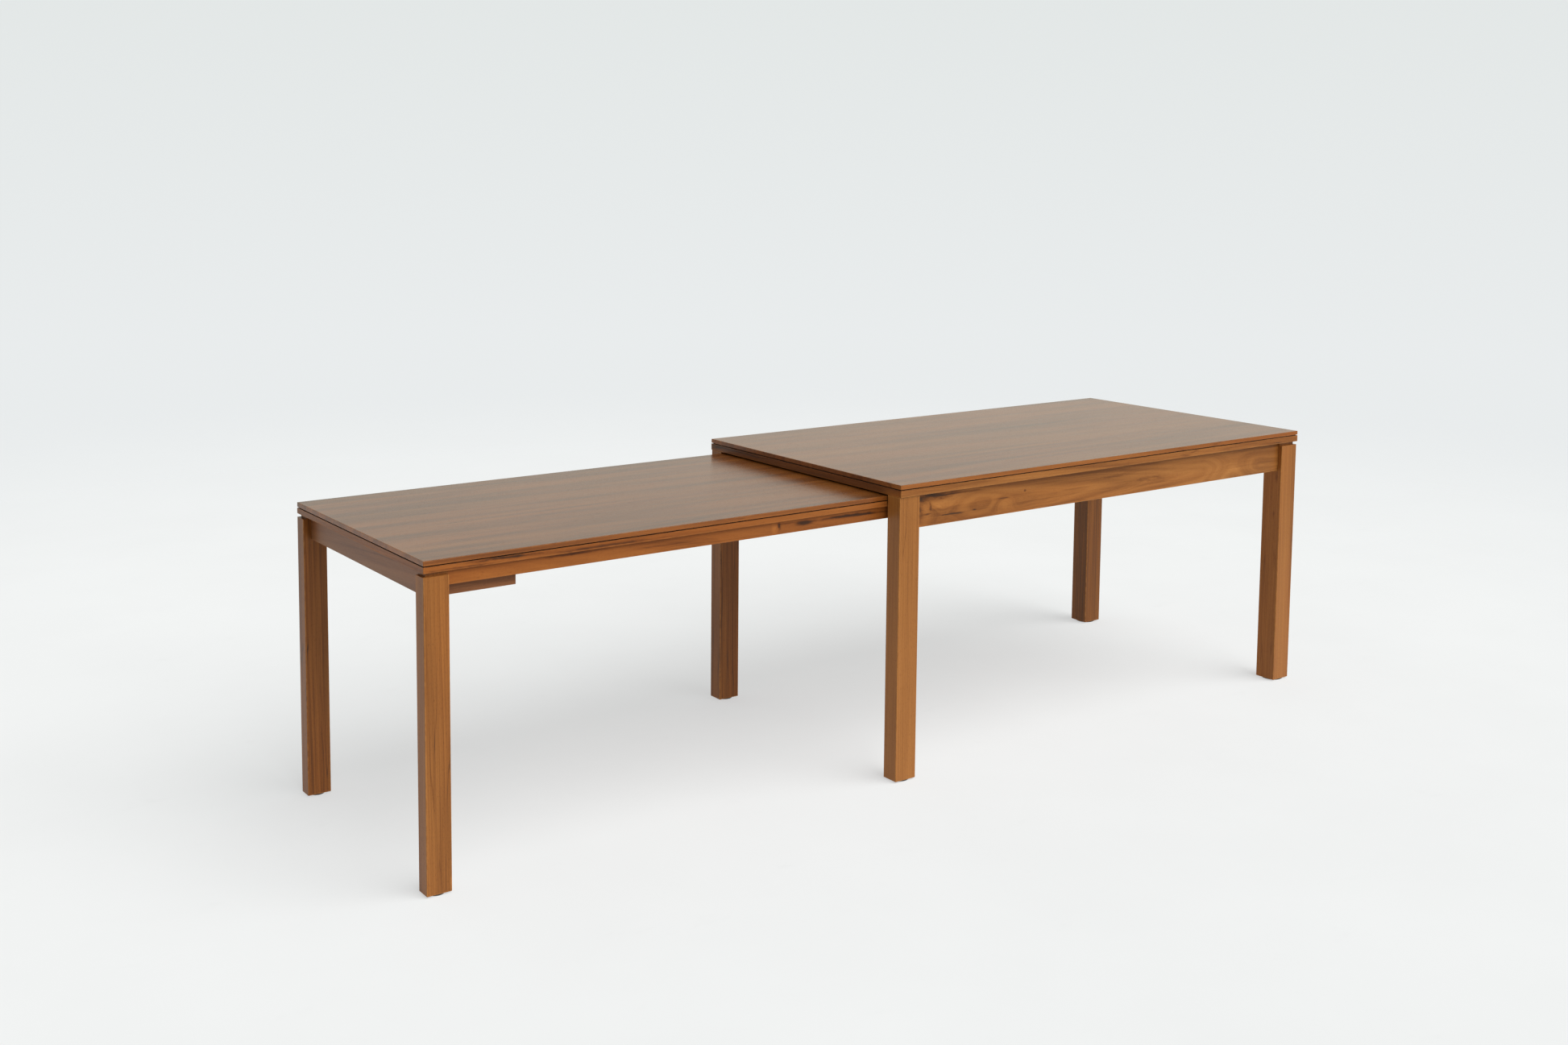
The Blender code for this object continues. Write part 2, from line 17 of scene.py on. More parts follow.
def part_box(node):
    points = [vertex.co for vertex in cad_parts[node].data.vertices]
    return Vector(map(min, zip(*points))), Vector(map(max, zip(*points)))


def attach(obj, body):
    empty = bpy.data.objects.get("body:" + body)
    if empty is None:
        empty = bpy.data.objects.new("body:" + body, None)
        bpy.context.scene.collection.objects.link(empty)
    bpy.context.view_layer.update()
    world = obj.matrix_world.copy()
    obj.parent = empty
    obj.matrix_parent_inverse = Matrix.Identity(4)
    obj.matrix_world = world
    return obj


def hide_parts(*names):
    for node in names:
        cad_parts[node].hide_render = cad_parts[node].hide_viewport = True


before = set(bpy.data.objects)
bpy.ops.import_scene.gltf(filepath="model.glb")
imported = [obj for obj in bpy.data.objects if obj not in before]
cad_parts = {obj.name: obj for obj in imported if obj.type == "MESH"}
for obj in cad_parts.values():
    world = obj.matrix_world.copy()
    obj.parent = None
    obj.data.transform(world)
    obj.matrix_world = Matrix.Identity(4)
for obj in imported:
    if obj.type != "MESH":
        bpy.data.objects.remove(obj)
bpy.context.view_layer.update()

LOG = logging.getLogger("nesting_table")
LOG_STEP = (3.17, 1.31, 0.73)   # metres in the log from one seed's piece to the next
MIDDLE_TONE = 0.56              # where the middle colour of a wood sits in its ramp
NO_TINT = (1.0, 1.0, 1.0)
# Height of the shadow groove, over which the bands are darkened as painted shade, and the soft lower edge of
# that shade.
GROOVE_HEIGHT = 0.002
GROOVE_BLUR = 0.0004
UPPER_FACE = (0.0010, 0.0003)   # depth under the top face where its painted shade starts and is full
EDGE_WEAR_AND_HIGHLIGHT = (0.0035, 0.0004)    # distance from an edge where wear and a painted highlight start and are full
RAIL_MARK_DEPTH = 0.05
SENSOR_WIDTH = 36.0

Socket = bpy.types.NodeSocket
Color = tuple[float, float, float]


class Body(Enum):
    """The two bodies of the table."""

    MAIN = "main_table"
    LEAF = "leaf_table"


class Grain(Enum):
    """The way that a piece's grain runs, as the order of its own axes: along, across, through."""

    ALONG_X = ("X", "Y", "Z")
    ALONG_X_UPRIGHT = ("X", "Z", "Y")
    ALONG_Y = ("Y", "Z", "X")
    ALONG_Y_FLAT = ("Y", "X", "Z")
    ALONG_Z = ("Z", "X", "Y")


# ---------------------------------------------------------------------------------- node graphs
class Graph:
    """Writes the nodes of one material, one call to a node."""

    def __init__(self, material: bpy.types.Material) -> None:
        """Empty the material's tree and give it a shader and an output.

        Args:
            material: The material to fill.
        """
        material.use_nodes = True
        self.tree = material.node_tree
        self.tree.nodes.clear()
        self.output = self.tree.nodes.new("ShaderNodeOutputMaterial")
        self.shader = self.tree.nodes.new("ShaderNodeBsdfPrincipled")
        self.link(self.shader.outputs["BSDF"], self.output.inputs["Surface"])
        self.place = self.tree.nodes.new("ShaderNodeTexCoord").outputs["Object"]

    def link(self, source: Socket, target: Socket) -> None:
        """Join an output to an input."""
        self.tree.links.new(source, target)

    def feed(self, target: Socket, value: "Socket | float | tuple | Vector") -> None:
        """Link a socket, or set a plain value, on an input."""
        if isinstance(value, bpy.types.NodeSocket):
            self.link(value, target)
        else:
            target.default_value = value

    def math(self, operation: str, *values: "Socket | float", clamp: bool = False) -> Socket:
        """A Math node.

        Args:
            operation: The node's operation.
            values: Its one, two or three inputs.
            clamp: Keep the result between 0 and 1.

        Returns:
            The result's socket.
        """
        node = self.tree.nodes.new("ShaderNodeMath")
        node.operation = operation
        node.use_clamp = clamp
        for target, value in zip(node.inputs, values):
            self.feed(target, value)
        return node.outputs[0]

    def vector(self, operation: str, *values: "Socket | tuple | Vector") -> Socket:
        """A Vector Math node with a vector result, or the length for LENGTH.

        Args:
            operation: The node's operation.
            values: Its inputs.

        Returns:
            The result's socket.
        """
        node = self.tree.nodes.new("ShaderNodeVectorMath")
        node.operation = operation
        for target, value in zip(node.inputs, values):
            self.feed(target, value)
        return node.outputs["Value"] if operation == "LENGTH" else node.outputs["Vector"]

    def split(self, vector: Socket) -> tuple[Socket, Socket, Socket]:
        """The three parts of a vector."""
        node = self.tree.nodes.new("ShaderNodeSeparateXYZ")
        self.link(vector, node.inputs[0])
        return node.outputs[0], node.outputs[1], node.outputs[2]

    def combine(self, *parts: "Socket | float") -> Socket:
        """A vector from three parts."""
        node = self.tree.nodes.new("ShaderNodeCombineXYZ")
        for target, value in zip(node.inputs, parts):
            self.feed(target, value)
        return node.outputs[0]

    def noise(self, place: Socket, stretch: tuple[float, float, float], detail: float = 2.0,
              roughness: float = 0.5, color: bool = False) -> Socket:
        """A noise whose features have their own length on each axis.

        Args:
            place: Where to read it, in metres.
            stretch: Features per metre on each axis.
            detail: Octaves.
            roughness: How strong the fine octaves are.
            color: Return three channels, not one.

        Returns:
            The noise's socket.
        """
        node = self.tree.nodes.new("ShaderNodeTexNoise")
        node.inputs["Scale"].default_value = 1.0
        node.inputs["Detail"].default_value = detail
        node.inputs["Roughness"].default_value = roughness
        self.link(self.vector("MULTIPLY", place, stretch), node.inputs["Vector"])
        return node.outputs["Color"] if color else node.outputs["Fac"]

    def line_noise(self, value: Socket, scale: float, detail: float, roughness: float) -> Socket:
        """A noise of one number, which gives every growth line its own tone.

        Args:
            value: The number, in metres.
            scale: Features per metre.
            detail: Octaves.
            roughness: How strong the fine octaves are.

        Returns:
            The noise's socket.
        """
        node = self.tree.nodes.new("ShaderNodeTexNoise")
        node.noise_dimensions = "1D"
        node.inputs["Scale"].default_value = scale
        node.inputs["Detail"].default_value = detail
        node.inputs["Roughness"].default_value = roughness
        self.link(value, node.inputs["W"])
        return node.outputs["Fac"]

    def white(self, value: Socket) -> Socket:
        """A random number from 0 to 1 for each whole number."""
        node = self.tree.nodes.new("ShaderNodeTexWhiteNoise")
        node.noise_dimensions = "1D"
        self.link(value, node.inputs["W"])
        return node.outputs["Value"]

    def spread(self, value: Socket, low: float, high: float, out_low: float = 0.0,
               out_high: float = 1.0) -> Socket:
        """Map a range onto another one, smoothly and clamped.

        Args:
            value: The number to map.
            low: Where the range starts.
            high: Where it ends.
            out_low: The result at low.
            out_high: The result at high.

        Returns:
            The mapped number's socket.
        """
        node = self.tree.nodes.new("ShaderNodeMapRange")
        node.interpolation_type = "SMOOTHSTEP"
        for target, number in zip(node.inputs, (value, low, high, out_low, out_high)):
            self.feed(target, number)
        return node.outputs[0]

    def mix(self, factor: "Socket | float", first: "Socket | Color", second: "Socket | Color",
            blend: str = "MIX") -> Socket:
        """Mix two colours.

        Args:
            factor: How much of the second.
            first: The first colour.
            second: The second colour.
            blend: The way to mix them.

        Returns:
            The mixed colour's socket.
        """
        node = self.tree.nodes.new("ShaderNodeMix")
        node.data_type = "RGBA"
        node.blend_type = blend
        node.clamp_factor = True
        self.feed(node.inputs["Factor"], factor)
        for target, value in zip((node.inputs[6], node.inputs[7]), (first, second)):
            self.feed(target, (*value, 1.0) if isinstance(value, tuple) else value)
        return node.outputs[2]

    def ramp(self, factor: Socket, stops: list[tuple[float, Color]]) -> Socket:
        """A colour ramp.

        Args:
            factor: Where to read it.
            stops: Its places and colours, in order.

        Returns:
            The colour's socket.
        """
        node = self.tree.nodes.new("ShaderNodeValToRGB")
        ramp = node.color_ramp
        while len(ramp.elements) < len(stops):
            ramp.elements.new(1.0)
        for element, (place, color) in zip(ramp.elements, stops):
            element.position = place
            element.color = (*color, 1.0)
        self.link(factor, node.inputs[0])
        return node.outputs["Color"]

    def bump(self, height: Socket, distance: float, strength: float = 1.0) -> None:
        """Feed a height, from 0 to 1, to the shader's normal.

        Args:
            height: The height.
            distance: Its depth in metres.
            strength: How much of it shows.
        """
        node = self.tree.nodes.new("ShaderNodeBump")
        node.inputs["Distance"].default_value = distance
        node.inputs["Strength"].default_value = strength
        self.link(height, node.inputs["Height"])
        self.link(node.outputs["Normal"], self.shader.inputs["Normal"])


# ---------------------------------------------------------------------------------- wood
@dataclass(frozen=True)
class Palette:
    """The four tones of one wood, as linear colours."""

    light: Color
    middle: Color
    dark: Color
    stain: Color


WALNUT = Palette(light=(0.44, 0.185, 0.046), middle=(0.335, 0.130, 0.030), dark=(0.195, 0.068, 0.015),
                 stain=(0.070, 0.032, 0.014))
WALNUT_RED = Palette(light=(0.38, 0.132, 0.027), middle=(0.285, 0.092, 0.0175), dark=(0.165, 0.050, 0.010),
                     stain=(0.055, 0.022, 0.009))
WALNUT_GREY = Palette(light=(0.30, 0.130, 0.055), middle=(0.225, 0.092, 0.038), dark=(0.130, 0.052, 0.021),
                      stain=(0.060, 0.028, 0.014))
BEECH = Palette(light=(0.52, 0.33, 0.17), middle=(0.44, 0.26, 0.125), dark=(0.33, 0.18, 0.08),
                stain=(0.20, 0.11, 0.05))


@dataclass(frozen=True)
class Mark:
    """A knot, a stain or a flash in the grain.

    at and reach are metres along, across and through the piece, from its middle; swirl is how far
    the growth lines bend round it, figure how much bolder they are there, and tone how much darker
    (below 0) or lighter it is.
    """

    at: tuple[float, float, float]
    reach: tuple[float, float, float]
    swirl: float = 0.0
    tone: float = 0.0
    figure: float = 0.0
    ragged: float = 0.25


@dataclass(frozen=True)
class WoodFinish:
    """Lacquered wood whose grain is cut from a log with growth lines, streaks, fibre and pores."""

    palette: Palette
    line_scale: float = 150.0       # growth lines per metre of log radius
    line_strength: float = 0.30
    ring_strength: float = 0.06     # how dark the late wood of each ring is
    streak_strength: float = 0.30
    fibre_strength: float = 0.18
    vein_strength: float = 0.22     # thin dark lines that wander along the grain
    hue_shift: Color = (1.04, 0.91, 0.78)
    upper_face_tone_and_painted_shade: Color = NO_TINT       # painted shade on the upper face, darker than the sides as if lit less, with a yellower tone, if it has one
    pith: tuple[float, float] = (0.05, 0.11)
    taper: float = 0.035            # how fast the growth lines leave the face along the grain
    waviness: float = 0.010
    pore_depth: float = 0.45
    roughness: float = 0.36
    specular: float = 0.20
    # how much edges are lightened: partly wear, partly a painted highlight
    wear_and_highlight: tuple[float, float] = (0.20, 0.60)
    relief: float = 0.00012         # depth of the grain in metres
    stave_width: float = 0.0        # boards glued edge to edge, if any
    groove_shade_height: float = 0.0      # the shadow groove along the piece's top, darkened there as painted shade

    def material(self, name: str, low: Vector, high: Vector, grain: Grain, seed: int,
                 marks: tuple[Mark, ...] = (), tone_and_painted_shading: float = 0.0) -> bpy.types.Material:
        """Make the material of one piece.

        Args:
            name: The material's name.
            low: The piece's lowest corner.
            high: Its highest corner.
            grain: The way that its grain runs.
            seed: Which part of the log it comes from.
            marks: Its knots and stains.
            tone_and_painted_shading: A lighter (above 0) or darker piece; partly the piece's own tone, partly
                painted shading for the light it gets.

        Returns:
            The material.
        """
        material = bpy.data.materials.new(name)
        graph = Graph(material)
        middle, half = (low + high) / 2, (high - low) / 2
        centred = graph.vector("SUBTRACT", graph.place, tuple(middle))
        wear_and_highlight = self._edge_wear_and_highlight(graph, centred, half)
        parts = dict(zip("XYZ", graph.split(centred)))
        own = graph.combine(*(parts[letter] for letter in grain.value))
        # The piece's tone shift is partly painted shading: pieces set darker or lighter for the light they
        # get.
        tone_and_shading_shift: Socket | float = tone_and_painted_shading
        log_place = graph.vector("ADD", own, tuple(seed * step for step in LOG_STEP))
        if self.stave_width:
            own, log_place, tone_and_shading_shift = self._staves(graph, own, seed, tone_and_painted_shading)

        warp = graph.noise(log_place, (1.4, 8.0, 8.0), 2.0, 0.5, color=True)
        warp = graph.vector("MULTIPLY", graph.vector("SUBTRACT", warp, (0.5, 0.5, 0.5)),
                            (0.0, 2 * self.waviness, 2 * self.waviness))
        ripple = graph.noise(log_place, (7.0, 50.0, 50.0), 2.0, 0.55, color=True)
        ripple = graph.vector("MULTIPLY", graph.vector("SUBTRACT", ripple, (0.5, 0.5, 0.5)),
                              (0.0, self.waviness / 3, self.waviness / 3))
        wavy = graph.vector("ADD", own, ripple)
        swirl, shade, figure = self._marks(graph, wavy, log_place, marks)

        along, across, through = graph.split(graph.vector("ADD", wavy, warp))
        radius = graph.vector("LENGTH", graph.combine(
            0.0, graph.math("ADD", across, self.pith[0]), graph.math("ADD", through, self.pith[1])))
        lift = graph.math("MULTIPLY_ADD", along, self.taper, swirl)
        radius = graph.math("ADD", graph.math("ADD", radius, lift), seed * 0.37)

        lines = graph.spread(graph.line_noise(radius, self.line_scale, 4.0, 0.66), 0.28, 0.74)
        growth = graph.math("FRACT", graph.math("MULTIPLY", radius, self.line_scale * 1.35))
        late = graph.math("MULTIPLY", graph.spread(growth, 0.5, 0.95), graph.spread(growth, 1.0, 0.95))
        patchy = graph.spread(graph.noise(log_place, (1.1, 14.0, 14.0), 2.0), 0.40, 0.62)
        streaks = graph.spread(graph.noise(log_place, (1.5, 24.0, 24.0), 3.0, 0.55), 0.32, 0.70)
        fibre = graph.noise(log_place, (5.0, 480.0, 480.0), 3.0, 0.62)
        pores = graph.spread(graph.noise(log_place, (110.0, 2100.0, 2100.0), 1.0, 0.5), 0.60, 0.72)
        contour = graph.math("ABSOLUTE", graph.math("SUBTRACT", graph.noise(
            log_place, (1.3, 34.0, 34.0), 2.5, 0.5), 0.52))
        vein = graph.math("MULTIPLY", graph.spread(contour, 0.016, 0.0), patchy)

        tone = graph.math("MULTIPLY", graph.math("SUBTRACT", lines, 0.5), self.line_strength)
        tone = graph.math("MULTIPLY", tone, figure)
        tone = graph.math("MULTIPLY_ADD", graph.math("SUBTRACT", streaks, 0.5), self.streak_strength, tone)
        tone = graph.math("MULTIPLY_ADD", graph.math("SUBTRACT", fibre, 0.5), self.fibre_strength * 2, tone)
        tone = graph.math("MULTIPLY_ADD", graph.math("MULTIPLY", late, patchy), -self.ring_strength, tone)
        tone = graph.math("MULTIPLY_ADD", vein, -self.vein_strength, tone)
        tone = graph.math("ADD", tone, graph.math("ADD", tone_and_shading_shift, shade))
        tone = graph.math("ADD", tone, MIDDLE_TONE, clamp=True)
        color = graph.ramp(tone, [
            (0.0, self.palette.stain), (0.24, self.palette.dark), (MIDDLE_TONE, self.palette.middle),
            (1.0, self.palette.light)])
        warm = graph.spread(graph.noise(log_place, (0.9, 11.0, 11.0), 2.0), 0.36, 0.66, 0.0, 0.6)
        color = graph.mix(warm, color, self.hue_shift, "MULTIPLY")
        filled = graph.math("MULTIPLY", pores, self.pore_depth)
        color = graph.mix(filled, color, self.palette.dark, "MULTIPLY")
        # Painted shade: the top few millimetres of the piece, in the shadow groove, darkened towards the
        # stain tone.
        if self.groove_shade_height:
            groove_foot = half.z - self.groove_shade_height
            groove = graph.spread(parts["Z"], groove_foot - GROOVE_BLUR, groove_foot)
            color = graph.mix(graph.math("MULTIPLY", groove, 0.8), color, self.palette.stain, "MULTIPLY")
        # Painted shade: the upper face darkened against the sides as if lit less, and given a yellower tone.
        if self.upper_face_tone_and_painted_shade != NO_TINT:
            upper = graph.spread(parts["Z"], *(half.z - depth for depth in UPPER_FACE))
            color = graph.mix(upper, color, self.upper_face_tone_and_painted_shade, "MULTIPLY")
        # Edges lightened towards the light tone: partly wear, partly a painted highlight along the edges.
        worn_and_highlit = graph.math("MULTIPLY", wear_and_highlight, graph.spread(
            graph.noise(log_place, (60.0, 120.0, 120.0), 2.0), 0.38, 0.62, *self.wear_and_highlight))
        color = graph.mix(worn_and_highlit, color, self.palette.light)

        shine = graph.math("MULTIPLY_ADD", graph.math("SUBTRACT", fibre, 0.5), 0.14, self.roughness)
        shine = graph.math("MULTIPLY_ADD", pores, 0.12, shine)
        shine = graph.math("MULTIPLY_ADD", worn_and_highlit, 0.20, shine)
        height = graph.math("MULTIPLY_ADD", pores, -0.55, graph.math("MULTIPLY", fibre, 0.45))
        height = graph.math("MULTIPLY_ADD", late, -0.12, height)

        graph.link(color, graph.shader.inputs["Base Color"])
        graph.link(shine, graph.shader.inputs["Roughness"])
        graph.bump(height, self.relief, 0.5)
        graph.shader.inputs["IOR"].default_value = 1.5
        graph.shader.inputs["Specular IOR Level"].default_value = self.specular
        return material

    def _edge_wear_and_highlight(self, graph: Graph, centred: Socket, half: Vector) -> Socket:
        """How near a point is to an edge of its piece, from 0 to 1 within a few millimetres, for edge wear
        and a painted highlight.

        Args:
            graph: The material's graph.
            centred: The place from the piece's middle.
            half: Half the piece's size.

        Returns:
            The socket of the edge wear and painted highlight.
        """
        depth = graph.split(graph.vector("SUBTRACT", tuple(half), graph.vector("ABSOLUTE", centred)))
        nearest = graph.math("MINIMUM", depth[0], depth[1])
        farther = graph.math("MAXIMUM", depth[0], depth[1])
        second = graph.math("MAXIMUM", nearest, graph.math("MINIMUM", farther, depth[2]))
        return graph.spread(second, *EDGE_WEAR_AND_HIGHLIGHT)

    def _staves(self, graph: Graph, own: Socket, seed: int, tone_and_painted_shading: float) -> tuple[Socket, Socket, Socket]:
        """Cut a board into staves, each from its own place in the log.

        Args:
            graph: The material's graph.
            own: The place on the piece's own axes.
            seed: The piece's seed.
            tone_and_painted_shading: The piece's own tone, with its painted shading.

        Returns:
            The place, the log place and the tone for each stave, with the piece's painted shading.
        """
        along, across, through = graph.split(own)
        number = graph.math("FLOOR", graph.math("MULTIPLY", graph.math("ADD", across, 10.0 + seed * 0.031),
                                                1 / self.stave_width))
        chance = graph.white(number)
        other = graph.white(graph.math("ADD", number, 0.5))
        moved = graph.combine(graph.math("MULTIPLY_ADD", chance, 9.0, along),
                              graph.math("MULTIPLY_ADD", other, 0.24, across), through)
        log_place = graph.vector("ADD", moved, tuple(seed * step for step in LOG_STEP))
        tone = graph.math("MULTIPLY_ADD", graph.math("SUBTRACT", other, 0.5), 0.18, tone_and_painted_shading)
        return moved, log_place, tone

    def _marks(self, graph: Graph, own: Socket, log_place: Socket,
               marks: tuple[Mark, ...]) -> tuple["Socket | float", "Socket | float", "Socket | float"]:
        """Add up the bend, the tone and the boldness of every mark.

        Args:
            graph: The material's graph.
            own: The place on the piece's own axes.
            log_place: The place in the log.
            marks: The marks.

        Returns:
            The bend of the growth lines, the shift in tone, and how bold the lines are.
        """
        swirl: Socket | float = 0.0
        shade: Socket | float = 0.0
        figure: Socket | float = 1.0
        if not marks:
            return swirl, shade, figure
        rough = graph.noise(log_place, (30.0, 90.0, 90.0), 3.0, 0.6, color=True)
        rough = graph.vector("SUBTRACT", rough, (0.5, 0.5, 0.5))
        for mark in marks:
            away = graph.vector("DIVIDE", graph.vector("SUBTRACT", own, mark.at), mark.reach)
            near = graph.vector("LENGTH", graph.vector("ADD", away, graph.vector(
                "MULTIPLY", rough, (mark.ragged * 4,) * 3)))
            weight = graph.spread(near, 1.0, 0.0)
            if mark.swirl:
                smooth = graph.spread(graph.vector("LENGTH", away), 1.6, 0.0)
                swirl = graph.math("MULTIPLY_ADD", smooth, mark.swirl, swirl)
            if mark.figure:
                figure = graph.math("MULTIPLY_ADD", weight, mark.figure, figure)
            if mark.tone:
                shade = graph.math("MULTIPLY_ADD", weight, mark.tone, shade)
        return swirl, shade, figure


# ---------------------------------------------------------------------------------- other finishes
@dataclass(frozen=True)
class FeltFinish:
    """Pressed felt: matted fibre with a soft sheen."""

    color: Color = (0.045, 0.036, 0.030)
    fleck: Color = (0.12, 0.105, 0.09)

    def material(self, name: str) -> bpy.types.Material:
        """Make the felt.

        Args:
            name: The material's name.

        Returns:
            The material.
        """
        material = bpy.data.materials.new(name)
        graph = Graph(material)
        matted = graph.noise(graph.place, (900.0, 900.0, 900.0), 4.0, 0.7)
        strands = graph.noise(graph.place, (2500.0, 380.0, 2500.0), 2.0, 0.6)
        color = graph.mix(graph.spread(matted, 0.45, 0.75), self.color, self.fleck)
        graph.link(color, graph.shader.inputs["Base Color"])
        graph.link(graph.spread(strands, 0.2, 0.8, 0.86, 1.0), graph.shader.inputs["Roughness"])
        graph.shader.inputs["Sheen Weight"].default_value = 0.35
        graph.shader.inputs["Sheen Roughness"].default_value = 0.5
        graph.bump(graph.math("ADD", matted, strands), 0.0004, 0.6)
        return material


@dataclass(frozen=True)
class MouldedFinish:
    """Nylon or rubber: an even colour with a fine moulded skin and rubbed patches of a second colour."""

    color: Color
    scuffed: Color
    roughness: float
    skin: float = 1500.0

    def material(self, name: str) -> bpy.types.Material:
        """Make the moulded material.

        Args:
            name: The material's name.

        Returns:
            The material.
        """
        material = bpy.data.materials.new(name)
        graph = Graph(material)
        skin = graph.noise(graph.place, (self.skin,) * 3, 3.0, 0.6)
        rubbed = graph.spread(graph.noise(graph.place, (9.0, 260.0, 260.0), 4.0, 0.6), 0.48, 0.72)
        graph.link(graph.mix(rubbed, self.color, self.scuffed), graph.shader.inputs["Base Color"])
        shine = graph.math("MULTIPLY_ADD", rubbed, 0.18, self.roughness)
        graph.link(shine, graph.shader.inputs["Roughness"])
        graph.bump(skin, 0.00008, 0.5)
        return material


@dataclass(frozen=True)
class PlatedFinish:
    """Zinc plating: clouded metal with a faint warm tone."""

    color: Color = (0.62, 0.60, 0.55)
    tarnish: Color = (0.42, 0.38, 0.30)

    def material(self, name: str) -> bpy.types.Material:
        """Make the plated metal.

        Args:
            name: The material's name.

        Returns:
            The material.
        """
        material = bpy.data.materials.new(name)
        graph = Graph(material)
        cloud = graph.noise(graph.place, (420.0, 420.0, 420.0), 4.0, 0.6)
        turned = graph.noise(graph.place, (3000.0, 3000.0, 3000.0), 2.0, 0.5)
        graph.link(graph.mix(graph.spread(cloud, 0.40, 0.70), self.color, self.tarnish),
                   graph.shader.inputs["Base Color"])
        graph.link(graph.spread(cloud, 0.2, 0.8, 0.24, 0.46), graph.shader.inputs["Roughness"])
        graph.shader.inputs["Metallic"].default_value = 1.0
        graph.bump(turned, 0.00003, 0.4)
        return material


# ---------------------------------------------------------------------------------- dressing
def dress(node: str, material: bpy.types.Material) -> None:
    """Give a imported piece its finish.

    Args:
        node: The piece's node.
        material: The finish.
    """
    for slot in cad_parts[node].material_slots:
        slot.material = material
    LOG.info("%s: %s", node, material.name)


def dress_wood(node: str, finish: WoodFinish, grain: Grain, seed: int, marks: tuple[Mark, ...] = (),
               tone_and_painted_shading: float = 0.0) -> None:
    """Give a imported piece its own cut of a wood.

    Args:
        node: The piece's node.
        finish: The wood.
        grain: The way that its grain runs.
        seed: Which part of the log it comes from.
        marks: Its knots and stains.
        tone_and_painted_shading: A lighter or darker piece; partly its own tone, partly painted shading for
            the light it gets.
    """
    low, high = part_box(node)
    dress(node, finish.material(f"{node}_wood", low, high, grain, seed, marks, tone_and_painted_shading))


@dataclass
class BandedTop:
    """A top board with the mitred band and battens under it."""

    prefix: str
    board: WoodFinish
    band: WoodFinish
    hidden: WoodFinish
    seed: int
    band_marks: dict[str, tuple[Mark, ...]] = field(default_factory=dict)
    # Tones of the bands and the board: partly their own, partly painted shading for the light they get.
    band_tones_and_painted_shading: dict[str, float] = field(default_factory=dict)
    # A side may take another, darker wood as painted shade.
    band_woods_with_painted_shade: dict[str, WoodFinish] = field(default_factory=dict)
    board_tone_and_painted_shading: float = 0.0

    def dress(self) -> None:
        """Dress the board, the four band strips and the two battens."""
        dress_wood(f"{self.prefix}_top_board", self.board, Grain.ALONG_X, self.seed, tone_and_painted_shading=self.board_tone_and_painted_shading)
        sides = {"near": Grain.ALONG_X_UPRIGHT, "far": Grain.ALONG_X_UPRIGHT,
                 "left": Grain.ALONG_Y, "right": Grain.ALONG_Y}
        for number, (side, grain) in enumerate(sides.items(), start=1):
            wood = self.band_woods_with_painted_shade.get(side, self.band)
            dress_wood(f"{self.prefix}_band_{side}", wood, grain, self.seed + number,
                       self.band_marks.get(side, ()), self.band_tones_and_painted_shading.get(side, 0.0))
        for number, side in enumerate(("left", "right"), start=5):
            dress_wood(f"{self.prefix}_batten_{side}", self.hidden, Grain.ALONG_Y_FLAT, self.seed + number)


@dataclass
class Legs:
    """The legs of one table."""

    finish: WoodFinish
    seed: int
    # Each leg's tone: partly its own, partly painted shading for the light it gets.
    tones_and_painted_shading: dict[str, float]
    marks: dict[str, tuple[Mark, ...]] = field(default_factory=dict)

    def dress(self) -> None:
        """Dress every leg, each from its own place in the log."""
        for number, (node, tone_and_painted_shading) in enumerate(self.tones_and_painted_shading.items()):
            dress_wood(node, self.finish, Grain.ALONG_Z, self.seed + number, self.marks.get(node, ()), tone_and_painted_shading)


@dataclass
class Rails:
    """Rails and braces, which show one upright face."""

    finish: WoodFinish
    seed: int
    grains: dict[str, Grain]
    marks: dict[str, tuple[Mark, ...]] = field(default_factory=dict)
    # Each rail's tone: partly its own, partly painted shading for the light it gets.
    tones_and_painted_shading: dict[str, float] = field(default_factory=dict)

    def dress(self) -> None:
        """Dress every rail, each from its own place in the log."""
        for number, (node, grain) in enumerate(self.grains.items()):
            dress_wood(node, self.finish, grain, self.seed + number, self.marks.get(node, ()),
                       self.tones_and_painted_shading.get(node, 0.0))


@dataclass
class SlideHardware:
    """Runners, strips, stops, bumpers, felt guards and screws of the slide."""

    wood: WoodFinish
    nylon: MouldedFinish
    rubber: MouldedFinish
    felt: FeltFinish
    steel: PlatedFinish
    seed: int = 60

    def dress(self) -> None:
        """Dress every piece of the slide by what it is made of."""
        nylon = self.nylon.material("slide_nylon")
        rubber = self.rubber.material("bumper_rubber")
        felt = self.felt.material("guard_felt")
        steel = self.steel.material("screw_zinc")
        for number, side in enumerate(("near", "far")):
            dress_wood(f"main_runner_{side}", self.wood, Grain.ALONG_X, self.seed + number)
            dress_wood(f"leaf_stop_{side}", self.wood, Grain.ALONG_X, self.seed + 2 + number)
            dress(f"main_slide_strip_{side}", nylon)
            dress(f"main_bumper_{side}", rubber)
            dress(f"main_guard_felt_{side}", felt)
        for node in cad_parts:
            if "_screw_" in node:
                dress(node, steel)


